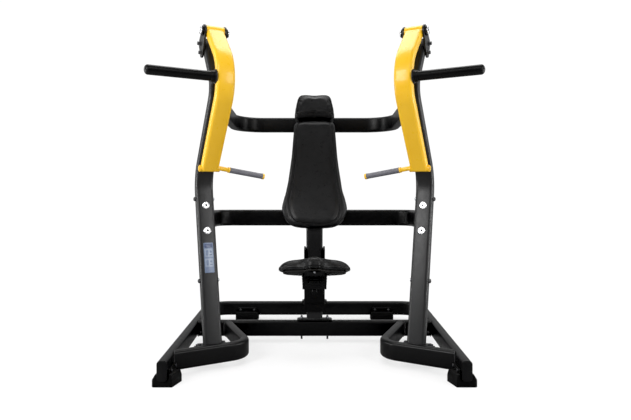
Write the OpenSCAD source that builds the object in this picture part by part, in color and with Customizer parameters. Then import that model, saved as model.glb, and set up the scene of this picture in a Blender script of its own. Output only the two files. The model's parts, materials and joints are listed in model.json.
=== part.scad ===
// Plate-loaded iso-lateral chest press.
// Millimetres. -Y is the open front, the way the user faces. +X is the user's left, +Z is up.
// The origin is on the floor, on the centre plane, midway along the plan box.
// Paired pieces are drawn at -X and mirrored across the YZ plane. A "left" node is the one
// at -X, on the left as seen from the front.

/* [Tube stock] */
// Long side of the rectangular frame tube
tube_h = 100; // [96:1:104]
// Short side of the rectangular frame tube
tube_w = 50; // [48:1:52]
// Wall of the frame tube
wall = 3; // [2.5:0.5:4]
// Outside corner radius of the frame tube
tube_r = 17; // [14:1:18]

/* [Base] */
// Gap between the floor and the base tubes
ground_gap = 30; // [28:1:34]
// Half spread of the side rails at their front ends
rail_front_x = 728; // [725:1:731]
// Half spread of the side rails where they would meet the rear cross tube
rail_rear_x = 788; // [785:1:791]
// How far forward the side rails reach
rail_front_y = -772; // [-775:1:-769]
// Y of the rear cross tube
rear_y = 741; // [736:1:746]
// Y of the front cross tube
front_y = 108; // [104:1:112]

/* [Side frames] */
// Toe-in of each side frame and its arm
toe_in = 27; // [27:0.5:27.5]
// Height of the arm pivot
pivot_z = 1792; // [1790:1:1794]
// Width of the yellow arm tube
arm_h = 96; // [94:1:96]

/* [Weight horns] */
// Diameter of the plate horn
horn_d = 49; // [48:0.5:50]
// Length of the plate horn from the arm
horn_len = 331; // [320:1:335]

/* [Handles] */
// Grip diameter
grip_d = 31; // [30:0.5:33]
// Grip length
grip_len = 198; // [190:1:200]
// Droop of the handle towards its free end
grip_droop = 9; // [8:0.5:10]

/* [Seat and back] */
// Forward lean of the lower post
post_lean = 14; // [14:0.5:14.5]
// Backward lean of the back pad
back_lean = 24; // [23.5:0.5:24]
// Thickness of the back pad
pad_t = 52; // [48:1:52]
// Pitch of the seat height holes
hole_pitch = 25; // [25:1:25]

/* [Hidden] */

$fn = 48;
mid_y = 18.95; // puts the origin midway along the plan box
fit = 0.05; // gap between pieces that touch
plate_t = 8; // brackets, gussets and bolting plates
thick_plate_t = 10; // foot flanges and pivot plates

// Bolt sizes and the holes that clear them
bolt_d = 12;
bolt_hole = 12.4;
small_bolt = 8;
small_hole = 8.4;

// Offsets from a tube's centre line
face = tube_w / 2 + fit; // to a piece on its broad face
flank = tube_h / 2 + fit; // to a piece on its narrow face
plate_face = face + plate_t + fit; // to a piece beyond a plate on its broad face

charcoal = [0.20, 0.20, 0.21];
black = [0.07, 0.07, 0.07];
yellow = [0.95, 0.72, 0.15];
steel = [0.62, 0.62, 0.64];
grip_grey = [0.42, 0.42, 0.46];
bumper_black = [0.12, 0.12, 0.12];
liner_white = [0.85, 0.85, 0.82];
bolt_grey = [0.25, 0.25, 0.26];
nut_grey = [0.45, 0.45, 0.46];
placard_blue = [0.66, 0.72, 0.82];

// ---- placing and simple shapes ---------------------------------------------------
module place() translate([0, mid_y, 0]) children();
module rightside() mirror([1, 0, 0]) children();
module both() {
  children();
  rightside() children();
}
module pair(x, y, z) for (side_x = [-x, x]) translate([side_x, y, z]) children();
// Drawn in XY, stood in the YZ plane
module in_yz() rotate([90, 0, 90]) children();
// Turns +Z to the front
module to_front() rotate([90, 0, 0]) children();
module rod_x(d, x0, x1) translate([x0, 0, 0]) rotate([0, 90, 0]) cylinder(d = d, h = x1 - x0);
// Cylinder running to the rear
module rod_y(d, length) rotate([-90, 0, 0]) cylinder(d = d, h = length);

// A left half outline, or a right one, closed by its mirror image. The ends lie on x = 0.
function symmetric(half) =
  concat(half, [for (i = [len(half) - 2:-1:1]) [-half[i][0], half[i][1]]]);

// Rectangle with cut corners, centred in x, with one long side on y = 0
module cut_rect(width, depth, cut) polygon(symmetric([
  [0, 0], [width / 2 - cut, 0], [width / 2, cut],
  [width / 2, depth - cut], [width / 2 - cut, depth], [0, depth]]));

// ---- sections and bent tubes -----------------------------------------------------
function rounded(width, height, radius, steps = 6) = [
  for (corner = [0:3]) for (i = [0:steps])
    let (
      angle = 90 * corner + 90 * i / steps,
      sign_x = (corner == 0 || corner == 3) ? 1 : -1,
      sign_y = corner < 2 ? 1 : -1)
    [sign_x * (width / 2 - radius) + radius * cos(angle),
     sign_y * (height / 2 - radius) + radius * sin(angle)]];
function heading(from, to) = atan2(to[1] - from[1], to[0] - from[0]);
function wrap(angle) = angle > 180 ? angle - 360 : angle < -180 ? angle + 360 : angle;
function turn(path, i) =
  wrap(heading(path[i], path[i + 1]) - heading(path[i - 1], path[i]));
// Distance from a corner of the path to where its bend starts
function setback(path, radii, i) =
  (i == 0 || i == len(path) - 1) ? 0 : radii[i] * tan(abs(turn(path, i)) / 2);

// Section of a tube: solid when thick is 0. shrink is taken from both sides of the wall.
module section(width, height, radius, thick, shrink = 0) difference() {
  polygon(rounded(width - 2 * shrink, height - 2 * shrink, radius - shrink));
  if (thick > 0)
    polygon(rounded(width - 2 * thick + 2 * shrink, height - 2 * thick + 2 * shrink,
      radius - thick + shrink, 3));
}

bend_overlap = 0.5; // how far each bend enters the straights
bend_shrink = 0.02; // keeps its skin inside theirs

// A tube bent along a path in the XY plane. width lies in the plane, height stands out of it.
module bent(path, radii, width = tube_w, height = tube_h, radius = tube_r, thick = wall) {
  last = len(path) - 1;
  for (i = [0:last - 1]) {
    angle = heading(path[i], path[i + 1]);
    start = i == 0 ? 0 : setback(path, radii, i) - bend_overlap;
    end = i == last - 1 ? 0 : setback(path, radii, i + 1) - bend_overlap;
    translate([path[i][0] + start * cos(angle), path[i][1] + start * sin(angle), 0])
      rotate([0, 0, angle]) rotate([90, 0, 90])
        linear_extrude(norm(path[i + 1] - path[i]) - start - end)
          section(width, height, radius, thick);
  }
  if (last > 1) for (i = [1:last - 1]) {
    angle = heading(path[i - 1], path[i]);
    bend = turn(path, i);
    back = setback(path, radii, i);
    reach = (bend > 0 ? 1 : -1) * radii[i];
    translate([path[i][0] - back * cos(angle) - reach * sin(angle),
        path[i][1] - back * sin(angle) + reach * cos(angle), 0])
      rotate([0, 0, bend > 0 ? angle - 90 : angle + 90 - abs(bend)])
        rotate_extrude(angle = abs(bend))
          translate([radii[i], 0]) section(width, height, radius, thick, bend_shrink);
  }
}

// Solid that clears a frame tube by half the gap on each side
module tube_space(path, radii, gap, radius = tube_r)
  bent(path, radii, tube_w + gap, tube_h + gap, radius, 0);

// Level U of tube, given its end and corner at +X
module u_tube(end, corner, radius, z) translate([0, 0, z])
  bent([[-end[0], end[1]], [-corner[0], corner[1]], corner, end], [0, radius, radius, 0]);

// ---- base ------------------------------------------------------------------------
base_z = ground_gap + tube_h / 2;
base_top = ground_gap + tube_h;
rail_slope = (rail_rear_x - rail_front_x) / (rear_y - rail_front_y);
loop_path = [[-751, -611.7], [-365.2, -379.8], [-549.8, 99.8]];
loop_radii = [0, 110, 0];
spine_bolt_x = 82;
strut_bolt_x = 64;
foot_bolt_y = [-722, -642];
foot_bolt_z = 70;
rear_foot_x = -500;
rear_foot_bolt_x = 50; // either side of the foot's middle
rear_foot_bolt_z = 74;
corner_plate_pos = [-732, front_y - plate_face, 40];
corner_bolt_x = [14, 126]; // from the plate's outer end
corner_bolt_z = 22; // above the plate's lower edge

// X of the left rail's inner face
function rail_in(y) = -(rail_front_x + rail_slope * (y - rail_front_y)) + face;

module at_base() translate([0, 0, base_z]) children();
module at_foot_bolts() for (y = foot_bolt_y) translate([0, y, foot_bolt_z]) children();

module base_frame() color(black) difference() {
  u_tube([rail_front_x, rail_front_y], [rail_rear_x, rear_y], 150, base_z);
  pair(strut_bolt_x, rear_y, 0) cylinder(d = bolt_hole, h = 200);
  both() at_foot_bolts() rod_x(small_hole, -715, -635);
}

// Space between the two side rails
module between_rails(y0, y1) linear_extrude(300)
  polygon([[rail_in(y0), y0], [-rail_in(y0), y0], [-rail_in(y1), y1], [rail_in(y1), y1]]);

module front_crossmember() color(black) difference() {
  intersection() {
    at_base() bent([[-760, front_y], [760, front_y]], [0, 0]);
    between_rails(-200, 400);
  }
  pair(spine_bolt_x, front_y, -1) cylinder(d = bolt_hole, h = 200);
}

// Bent tube from the front of a side rail back to the front cross tube
module loop_tube() color(black) intersection() {
  at_base() bent(loop_path, loop_radii);
  between_rails(-760, front_y - face);
}

module rail_end_caps() color(black) both()
  translate([-rail_front_x, rail_front_y, base_z]) rotate([0, 0, atan(rail_slope)])
    to_front() {
      linear_extrude(3) polygon(rounded(tube_w, tube_h, tube_r));
      translate([0, 0, 3]) linear_extrude(3)
        polygon(rounded(tube_w - 6, tube_h - 6, tube_r - 3));
    }

// Moulded boot under the front end of a side rail, with a flange up the rail's inner face
module front_foot() color(black) difference() {
  union() {
    hull() {
      linear_extrude(34)
        polygon([[-780, -757], [-772, -765], [-681, -765], [-657, -671], [-780, -671]]);
      translate([0, 0, 46]) linear_extrude(14)
        polygon([[-764, -763], [-685, -763], [-663, -675], [-764, -675]]);
    }
    hull() {
      translate([-712, -700, 0]) cube([14, 60, 20]);
      translate([-712, -752, 30]) cube([16, 130, 50]);
    }
  }
  at_base() tube_space([[-rail_front_x + 20 * rail_slope, rail_front_y - 20],
    [-rail_rear_x, rear_y]], [0, 0], 0.2);
  at_foot_bolts() rod_x(small_hole, -740, -660);
}

// Pad under the rear cross tube, with a riser in front of it
module rear_foot() color(black) translate([rear_foot_x, 0, 0]) difference() {
  union() {
    translate([-82, 668, 0]) cube([164, 92, ground_gap - 0.1]);
    translate([-82, 668, 0]) cube([164, 39.8, 60]);
  }
  pair(rear_foot_bolt_x, 690, 40) rod_y(4, 30);
}

module rear_foot_bracket() color(black)
  translate([rear_foot_x, rear_y - plate_face, 0]) difference() {
    translate([-66, 0, ground_gap]) cube([132, plate_t, 60]);
    pair(rear_foot_bolt_x, -5, rear_foot_bolt_z) rod_y(small_hole, 20);
  }

// Plate on the front face of the front cross tube, beside a side rail
module corner_plate() color(black) translate(corner_plate_pos) difference() {
  cube([140, plate_t, 84]);
  for (x = corner_bolt_x) translate([x, -1, corner_bolt_z]) rod_y(small_hole, 10);
}

// Plate under the foot of a post
module foot_flange(width, y, bolt_x) color(black) difference() {
  translate([0, y - 32, base_top + fit])
    linear_extrude(thick_plate_t - fit) cut_rect(width, 64, 12);
  pair(bolt_x, y, 120) cylinder(d = bolt_hole, h = 40);
}

// ---- side frames -----------------------------------------------------------------
side_pos = [-551, -423, 0];
// [y, z] in the side frame's own plane
upright_path = [[-14.6, 60], [185.6, 1020.7], [-140.8, 1483.7], [33, 1750]];
upright_radii = [0, 230, 125, 0];
lower_slope = 150 / 720; // rearward, going up
upper_slope = 215 / 305; // forward, going up
top_lean = 90 - heading(upright_path[2], upright_path[3]);
shelf_z = 94.9;
foot_plate_z = 105;
foot_plate_t = 10;
foot_top = foot_plate_z + foot_plate_t + fit;
crossbar_bolt_z = [720, 860];
side_bolt_z = [452, 900];
plate_bolts = [[31, 1741], [8, 1686]]; // [y, z] of the pivot plate bolts

module side() translate(side_pos) rotate([0, 0, toe_in]) children();
// On the upright's centre line at height z, turned to its lean
module at_lower_lean(z)
  translate([0, lower_slope * (z - 130), z]) rotate([-atan(lower_slope), 0, 0]) children();
module at_upper_lean(z)
  translate([0, 155.07 - upper_slope * (z - 1064), z]) rotate([atan(upper_slope), 0, 0])
    children();
module at_crossbar_bolts() for (z = crossbar_bolt_z) at_lower_lean(z) children();
module at_side_bolts() for (z = side_bolt_z) at_lower_lean(z) children();
module at_plate_bolts() for (p = plate_bolts) translate([0, p[0], p[1]]) children();
module at_foot_plate_bolts(z) pair(66, 22, z) children();
module foot_plate_holes() at_foot_plate_bolts(80) cylinder(d = bolt_hole, h = 40);

module upright() color(charcoal) side() difference() {
  in_yz() bent(upright_path, upright_radii);
  translate([-100, -100, 0]) cube([200, 200, foot_top]);
  at_crossbar_bolts() to_front() translate([0, 0, -60]) cylinder(d = 14.4, h = 120);
  at_side_bolts() rod_x(10.4, -60, 60);
  at_plate_bolts() rod_x(bolt_hole, -60, 60);
}

// Shelf on two ribs behind the front of the loop tube, under the upright's foot
module upright_shelf() color(black) difference() {
  side() union() {
    difference() {
      translate([-86, -40, shelf_z]) cube([172, 96, 10]);
      foot_plate_holes();
    }
    for (x = [-50, 42]) translate([x, -40, 0]) in_yz() linear_extrude(plate_t)
      polygon([[0, 40], [30, 40], [92, 88], [92, shelf_z], [0, shelf_z]]);
  }
  at_base() tube_space(loop_path, loop_radii, 0.1);
}

module upright_foot_plate() color(charcoal) side() difference() {
  translate([0, -27.5, foot_plate_z]) linear_extrude(foot_plate_t) cut_rect(160, 80, 8);
  foot_plate_holes();
}

// Flat lid with a plug down into the tube
module upright_end_cap() color(black) side() difference() {
  translate([0, upright_path[3][0], upright_path[3][1]]) rotate([-top_lean, 0, 0]) {
    linear_extrude(4) polygon(rounded(tube_h, tube_w, tube_r));
    translate([0, 0, -14]) linear_extrude(14)
      polygon(rounded(tube_h - 2 * wall - 0.4, tube_w - 2 * wall - 0.4,
        tube_r - wall - 0.2, 3));
  }
  at_plate_bolts() rod_x(bolt_hole, -60, 60);
}

// ---- crossbars -------------------------------------------------------------------
lower_z = 782;
lower_y = 90;
upper_z = 1412;
upper_y = 430;
upper_flange_t = 24; // overall depth of the upper bolting plates

// Each bar is cut off just behind its bolting plates
module lower_crossbar() color(black) difference() {
  u_tube([619, -360], [608, lower_y], 100, lower_z);
  both() side() at_lower_lean(lower_z)
    translate([-200, -220, -200]) cube([400, 220 + plate_face, 400]);
}
module upper_crossbar() color(black) difference() {
  u_tube([512, -560], [542, upper_y], 190, upper_z);
  both() side() at_upper_lean(1370)
    translate([-200, -320, -300]) cube([400, 320 + face + upper_flange_t + fit, 600]);
}

// Bolting plates between the crossbar ends and the uprights. The upper one is slotted.
module crossbar_flanges() color(charcoal) both() side() {
  at_lower_lean(790) difference() {
    translate([-36, face, -98]) cube([76, plate_t, 196]);
    for (z = [-71.5, 71.5]) translate([0, 20, z]) rod_y(14.4, 20);
  }
  at_upper_lean(1345) translate([-34, face, -76]) difference() {
    cube([72, upper_flange_t, 152]);
    translate([8, 8, -1]) cube([56, 8, 170]);
  }
}

// ---- centre post -----------------------------------------------------------------
post_z = base_top + thick_plate_t;
knee_z = 740;
pin_height = 216; // of the pull pin, along the post
back_len = 790;
function post_y(z) = front_y - (z - post_z) * tan(post_lean);
knee_y = post_y(knee_z);
spine_path = [[post_y(100), 100], [knee_y, knee_z],
  [knee_y + back_len * sin(back_lean), knee_z + back_len * cos(back_lean)]];
spine_radii = [0, 150, 0];
strut_path = [[rear_y, post_z + fit], [rear_y, 1040], [440, 1440]];
// Y of the rear face of the post's upper part
function back_y(z) = knee_y + (z - knee_z) * tan(back_lean)
  + (tube_w / 2) / cos(back_lean) + 0.1;
// Spine brackets: lower edge z, upper edge z, y of the crossbar they meet
bracket_rows = [[744, 820, lower_y], [1376, 1448, upper_y]];

// Axes along the lower and upper parts of the post
module post() translate([0, front_y, post_z]) rotate([post_lean, 0, 0]) children();
module back() translate([0, knee_y, knee_z]) rotate([-back_lean, 0, 0]) children();

module spine_post() color(charcoal) difference() {
  in_yz() bent(spine_path, spine_radii);
  translate([-100, -100, 0]) cube([200, 400, post_z + fit]);
  for (k = [-2:4])
    post() translate([0, -40, pin_height + k * hole_pitch]) rod_y(10.8, 30);
}
module spine_flange() foot_flange(220, front_y, spine_bolt_x);

// Paired plates from the rear face of the post to each crossbar
module spine_brackets() color(black) difference() {
  for (x = [-44, 36]) translate([x, 0, 0]) in_yz() for (row = bracket_rows) {
    bar_face = row[2] - face - fit;
    linear_extrude(plate_t) polygon([[back_y(row[0]) - 8, row[0]], [bar_face, row[0]],
      [bar_face, row[1]], [back_y(row[1]) - 8, row[1]]]);
  }
  in_yz() tube_space(spine_path, spine_radii, 0.2, tube_r + 0.1);
}

// Ends at the rear face of the upper crossbar
module rear_strut() color(charcoal) difference() {
  in_yz() bent(strut_path, [0, 260, 0]);
  translate([-100, 200, 1300]) cube([200, upper_y + face + fit - 200, 300]);
}
module rear_strut_flange() foot_flange(184, rear_y, strut_bolt_x);

// ---- pivots ----------------------------------------------------------------------
pivot_y = -35;
shaft_d = 24.9;
shaft_bore = 25.1;
plate_out = flank + thick_plate_t; // outer face of a pivot plate
collar_out = 72;
boss_x = arm_h / 2 + 0.4; // half length of the arm's pivot boss

module at_pivot() side() translate([0, pivot_y, pivot_z]) children();

module pivot_plate(x0) side() translate([x0, 0, 0]) difference() {
  in_yz() linear_extrude(thick_plate_t) hull() {
    translate([pivot_y, pivot_z]) circle(34);
    translate([33, 1744]) circle(25);
    translate([10, 1684]) circle(24);
  }
  translate([0, pivot_y, pivot_z]) rod_x(shaft_bore, -5, 15);
  at_plate_bolts() rod_x(bolt_hole, -5, 15);
}
module pivot_plates() color(charcoal) {
  pivot_plate(flank);
  pivot_plate(-plate_out);
}
module pivot_shafts() color(steel) both() at_pivot() rod_x(shaft_d, -collar_out, collar_out);
module pivot_collars() color(black) both() at_pivot() both() difference() {
  union() {
    rod_x(52, plate_out + fit, 68);
    rod_x(44, 68, collar_out);
  }
  rod_x(shaft_bore, 50, 80);
}

// Disc with a conical face
module bevel_cap(d, top_d) {
  cylinder(d = d, h = 3);
  translate([0, 0, 3]) cylinder(d1 = d, d2 = top_d, h = 3);
}
module pivot_caps() color(steel) both() at_pivot() both()
  translate([collar_out + fit, 0, 0]) rotate([0, 90, 0]) bevel_cap(40, 30);

// Flanged bearing in each end of the arm's boss
module pivot_bearings() color(steel) at_pivot() both() difference() {
  union() {
    rod_x(46.9, 36, boss_x);
    rod_x(52, 48.5, 49.6);
    rod_x(34, 48.3, 48.6);
  }
  rod_x(25, 30, 60);
}

// ---- arms ------------------------------------------------------------------------
arm_end_y = 60;
arm_end_z = 1068;
arm_path = [[pivot_y, pivot_z], [-286, 1532], [arm_end_y, arm_end_z]];
horn_root = -(arm_h / 2 + 0.1);
horn_end = horn_root - horn_len;
handle_x = 50.1; // where the handle meets the arm's sleeve
grip_z = 1072;
grip_start = 66.1;
grip_end = grip_start + grip_len;
rod_d = 22; // handle rod inside the grip
bumper_len = 27.6;
// Domed horn plug, close to an ellipse: distance out, diameter as a part of the horn's
dome = [[0, 1], [3, 0.986], [7, 0.922], [11, 0.79], [14.5, 0.592], [17, 0.33], [18, 0.16]];

module at_arm_end() translate([0, arm_end_y, arm_end_z]) children();
module at_horn() side() translate([0, -216, 1515]) children();
module at_grip() side()
  translate([handle_x, arm_end_y, grip_z]) rotate([0, grip_droop, 0]) children();

// Bent tube with a pivot boss at its top and a handle sleeve at its lower end
module arm() color(yellow) side() difference() {
  union() {
    difference() {
      in_yz() bent(arm_path, [0, 200, 0], height = arm_h);
      at_arm_end() rod_x(30, -70, 70);
    }
    difference() {
      translate([0, pivot_y, pivot_z]) rod_x(62, -boss_x, boss_x);
      translate([0, pivot_y, pivot_z]) rod_x(54, -35.9, 35.9);
    }
    at_arm_end() difference() {
      union() {
        rod_x(36, -56, 50);
        rod_x(28, -59, -50);
      }
      rod_x(28, -50, 60);
    }
  }
  translate([0, pivot_y, pivot_z]) rod_x(47, -60, 60);
}

// Hollow bar on a two-step collar
module weight_horn() color(black) at_horn() difference() {
  union() {
    rod_x(66, -56, horn_root);
    rod_x(58, -74, -56);
    rod_x(horn_d, horn_end, -70);
  }
  rod_x(horn_d - 9, horn_end - 1.9, -52);
}
module horn_end_caps() color(black) at_horn() {
  translate([horn_end - fit, 0, 0]) rotate([0, -90, 0])
    for (i = [0:len(dome) - 2]) translate([0, 0, dome[i][0]])
      cylinder(d1 = horn_d * dome[i][1], d2 = horn_d * dome[i + 1][1],
        h = dome[i + 1][0] - dome[i][0]);
  rod_x(horn_d - 9.4, horn_end - fit, horn_end + 18.1);
}

module handle() color(yellow) difference() {
  union() {
    at_grip() {
      rod_x(25, -2, 62);
      rod_x(31, 56, 66);
      rod_x(rod_d, 60, grip_end + 4);
      rod_x(grip_d + 2, grip_end + 0.1, grip_end + 10);
    }
    side() at_arm_end() rod_x(36, handle_x, handle_x + 5);
  }
  side() at_arm_end() rod_x(80, 0, handle_x);
}
module grip() color(grip_grey) at_grip() difference() {
  union() {
    rod_x(grip_d, grip_start, grip_end);
    rod_x(grip_d + 2, grip_start, 72);
    rod_x(grip_d + 2, grip_end - 6, grip_end);
  }
  rod_x(rod_d + 0.1, 50, 300);
}

// Stepped stops on the front faces of the uprights
module arm_bumpers() color(bumper_black) both() side() at_upper_lean(1205)
  translate([0, -face, 0]) to_front() {
    cylinder(d = 46, h = 10);
    cylinder(d = 40, h = bumper_len);
  }

// ---- back pads -------------------------------------------------------------------
pad_front = -38 - pad_t;
// Right half outlines, [x, z along the back]
pad_outline = [
  [0, -44], [60, -43], [110, -36], [145, -22], [172, 4], [192, 46], [200, 85], [193, 130],
  [178, 195], [164, 290], [153, 387], [144, 500], [138, 610], [134, 668], [112, 704], [0, 704]];
head_outline = [[0, 709], [118, 709], [130, 722], [128, 760], [108, 862], [90, 880], [0, 880]];
board_outline = [for (q = pad_outline) [q[0] * 0.86, 20 + q[1] * 0.94]];

// Slab of a half outline and its mirror image, from y0 to y1
module slab(half, y0, y1)
  translate([0, y1, 0]) to_front() linear_extrude(y1 - y0) polygon(symmetric(half));

module back_board() color(black) back() difference() {
  slab(board_outline, -37, -25.1);
  for (z = [120, 560]) translate([0, -50, z]) rod_y(small_hole, 40);
}
module back_pad() color(black) back() slab(pad_outline, pad_front, -37.5);
module headrest_pad() color(black) back() slab(head_outline, pad_front - 24, -25.5);

// ---- seat ------------------------------------------------------------------------
seat_mid_y = -225;
seat_z = 483.5;
seat_tilt = 14;
// Heights below are from the underside of the pad
board_z = -13; // underside of the seat board
arm_top = board_z - fit;
arm_low = -39;
arm_front = -352;
arm_rear = -60;
body_y = -37; // front face of the carriage, in the post's axes
liner_z = [70, 300];
seat_bolts_xy = [[-90, -170], [90, -170], [0, -330]];
// Right half outline of the pad from above, [x, y]
seat_outline = [
  [0, -400], [24, -400], [35, -390], [40, -370], [52, -340], [84, -312], [140, -300],
  [185, -285], [206, -245], [204, -190], [185, -140], [140, -105], [80, -85], [60, -45], [0, -45]];
seat_board_outline =
  [for (q = seat_outline) [q[0] * 0.88, seat_mid_y + (q[1] - seat_mid_y) * 0.88]];
// Height of the pad across its width, [x, z]: level over the nose, rolling down to the tips
seat_profile = [
  [0, 64], [34, 64], [60, 61], [95, 60], [127, 58], [157, 51], [178, 42], [190, 33],
  [200, 20], [206.5, 6], [206.5, -1], [0, -1]];

module on_seat() translate([0, seat_mid_y, seat_z]) rotate([-seat_tilt, 0, 0])
  translate([0, -seat_mid_y, 0]) children();

// A point of the seat's side view, y along the seat and height above the pad's underside,
// in the post's axes with y from the carriage's front face
function on_post(y, height) = let (
  along = y - seat_mid_y,
  world_y = seat_mid_y + along * cos(seat_tilt) + height * sin(seat_tilt) - front_y,
  world_z = seat_z - along * sin(seat_tilt) + height * cos(seat_tilt) - post_z)
  [world_y * cos(post_lean) + world_z * sin(post_lean) - body_y,
   world_z * cos(post_lean) - world_y * sin(post_lean)];

module seat_carriage() color(black) difference() {
  union() {
    carriage_body();
    // cross plate at the front of the arms
    on_seat() translate([-56, arm_front, arm_low]) cube([112, 6, arm_top - arm_low]);
  }
  on_seat() translate([0, -360, -20]) rod_y(6.4, 20);
}
module carriage_body() post() difference() {
  union() {
    // cheeks and front plate
    for (x = [-64, 54]) translate([x, body_y, 110]) cube([10, 66, 364]);
    translate([-64, body_y, 110]) cube([128, 10, 290]);
    // collar round the post
    difference() {
      translate([-68, -41, 64]) cube([136, 82, 52]);
      translate([-54, -27, 60]) cube([108, 54, 60]);
    }
    // seat arms
    for (x = [-40, 32]) translate([x, body_y, 0]) in_yz() linear_extrude(plate_t)
      polygon([[0, 230], [-53, 262], on_post(arm_front, arm_low), on_post(arm_front, arm_top),
        on_post(arm_rear, arm_top), [0, on_post(arm_rear, arm_top)[1] - 20]]);
  }
  translate([0, -60, pin_height]) rod_y(20.2, 50);
}
module carriage_liners() color(liner_white) post() for (z = liner_z) {
  for (x = [-53.9, 50.1]) translate([x, -20, z]) cube([3.8, 40, 44]);
  translate([-30, -26.9, z]) cube([60, 1.8, 44]);
}

module seat_board() color(black) on_seat() difference() {
  translate([0, 0, board_z]) linear_extrude(12) polygon(symmetric(seat_board_outline));
  for (p = seat_bolts_xy) translate([p[0], p[1], -60]) cylinder(d = small_hole, h = 120);
}
module seat_pad() color(black) on_seat() intersection() {
  linear_extrude(64) polygon(symmetric(seat_outline));
  to_front() linear_extrude(420) polygon(symmetric(seat_profile));
}

// Ribbed plate with side walls, slotted for the seat arms
module seat_bracket_cover() color(black) difference() {
  union() {
    for (i = [0:4]) translate([-74 + i, -200, 446 - 15 * i]) cube([148 - 2 * i, 10, 12]);
    translate([-70, -198, 375]) cube([140, 3, 83]);
    for (x = [-70, 67]) translate([x, -198, 380]) cube([3, 90, 76]);
  }
  translate([-42, -196, 300]) cube([84, 300, 300]);
  for (x = [-40.3, 31.7]) translate([x, -210, 412]) cube([8.6, 40, 60]);
  on_seat() translate([-200, -400, board_z - 0.3]) cube([400, 400, 200]);
}

// ---- pull pin --------------------------------------------------------------------
pin_d = 10;
housing_y = -27.1;
pin_y = -19;

// On the pin's axis, with +Z out of the post's front face
module at_pin(y) post() translate([0, y, pin_height]) to_front() children();

module pin_housing() color(steel) at_pin(housing_y) difference() {
  union() {
    cylinder(d = 20, h = 34);
    translate([0, 0, 10.1]) cylinder(d = 30, h = 7, $fn = 6);
  }
  translate([0, 0, -1]) cylinder(d = pin_d + 0.2, h = 60);
  translate([0, 0, 6]) cylinder(d = 16, h = 22);
}
module pull_pin() color(steel) at_pin(pin_y) {
  cylinder(d = pin_d, h = 60);
  translate([0, 0, 14.3]) cylinder(d = 15.6, h = 3);
}
module pull_knob() color(black) at_pin(pin_y - 44) difference() {
  union() {
    cylinder(d = 26, h = 6);
    translate([0, 0, 6]) cylinder(d = 36, h = 16);
    translate([0, 0, 22]) cylinder(d1 = 36, d2 = 26, h = 4);
  }
  translate([0, 0, -1]) cylinder(d = pin_d, h = 17);
}

// Coil spring along +Z: a round wire swept along a helix
module coil(radius, wire_d, pitch, turns, steps = 16, sides = 8) {
  last = turns * steps;
  polyhedron(
    points = [for (i = [0:last]) for (j = [0:sides - 1])
      let (
        around = 360 * i / steps,
        angle = -360 * j / sides,
        reach = radius + wire_d / 2 * cos(angle))
      [reach * cos(around), reach * sin(around),
       pitch * i / steps + wire_d / 2 * sin(angle)]],
    faces = concat(
      [[for (j = [0:sides - 1]) j]],
      [[for (j = [sides - 1:-1:0]) last * sides + j]],
      [for (i = [0:last - 1]) for (j = [0:sides - 1])
        let (next = (j + 1) % sides, here = i * sides, ahead = here + sides)
        [here + j, ahead + j, ahead + next, here + next]]));
}
// Drawn at its compressed length, against the housing's mouth
module pin_spring() color(steel) at_pin(housing_y - 22.4)
  coil(radius = 6.4, wire_d = 1.1, pitch = 1.5, turns = 3);

// ---- fasteners -------------------------------------------------------------------
// Head above z = 0, shank below
module bolt(head_d, head_h, shank_d, length) {
  cylinder(d = head_d, h = head_h);
  translate([0, 0, -length]) cylinder(d = shank_d, h = length);
}
module hex_x(d, x0, x1) rotate([0, 0, 0]) translate([x0, 0, 0]) rotate([0, 90, 0])
  cylinder(d = d, h = x1 - x0, $fn = 6);

module crossbar_bolt_caps() color(steel) both() side() at_crossbar_bolts()
  translate([0, -face, 0]) to_front() {
    bevel_cap(42, 32);
    translate([0, 0, -64]) cylinder(d = 14, h = 64);
  }

module frame_bolts() color(bolt_grey) {
  both() side() {
    at_side_bolts() {
      rod_x(10, -flank, 58);
      rod_x(24, -58, -flank);
      rod_x(16, -61, -58);
    }
    at_plate_bolts() {
      rod_x(bolt_d, -72, 61);
      rod_x(26, -63, -plate_out - fit);
      rod_x(19, -74, -63);
    }
    at_foot_plate_bolts(foot_top) bolt(20, 7, bolt_d, 30);
  }
  pair(spine_bolt_x, front_y, 10) cylinder(d = bolt_d, h = 150);
  pair(strut_bolt_x, rear_y, 100) cylinder(d = bolt_d, h = 58);
  both() {
    at_foot_bolts() translate([-695.9, 0, 0]) rotate([0, 90, 0]) bolt(14, 5, small_bolt, 14);
    translate([rear_foot_x, 0, 0])
      pair(rear_foot_bolt_x, rear_y - plate_face - fit, rear_foot_bolt_z)
        to_front() bolt(14, 6, small_bolt, 8);
    for (x = corner_bolt_x) translate(corner_plate_pos + [x, -fit, corner_bolt_z])
      to_front() bolt(14, 6, small_bolt, 8);
  }
}

module base_nut() difference() {
  cylinder(d = 22, h = 10, $fn = 6);
  translate([0, 0, -1]) cylinder(d = bolt_d + 0.1, h = 20);
}
module frame_nuts() color(nut_grey) {
  both() side() {
    at_side_bolts() difference() {
      hex_x(20, flank, 56);
      rod_x(10.1, 40, 70);
    }
    at_plate_bolts() difference() {
      hex_x(21, plate_out + fit, 70);
      rod_x(bolt_d + 0.1, 40, 70);
    }
  }
  pair(spine_bolt_x, front_y, post_z + fit) base_nut();
  pair(strut_bolt_x, rear_y, post_z + fit) base_nut();
}

// Three bolts up into the seat and one through the carriage's cross plate
module seat_bolts() color(steel) on_seat() {
  for (p = seat_bolts_xy) translate([p[0], p[1], -20]) {
    cylinder(d = 16, h = 6.9);
    cylinder(d = small_bolt, h = 18);
  }
  translate([0, -355.1, -20]) {
    rod_y(10, 3);
    rod_y(6, 12);
  }
}

module placard() color(placard_blue) side() at_lower_lean(572)
  translate([0, -face, 0]) to_front() linear_extrude(1) polygon(rounded(54, 166, 5));

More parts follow.
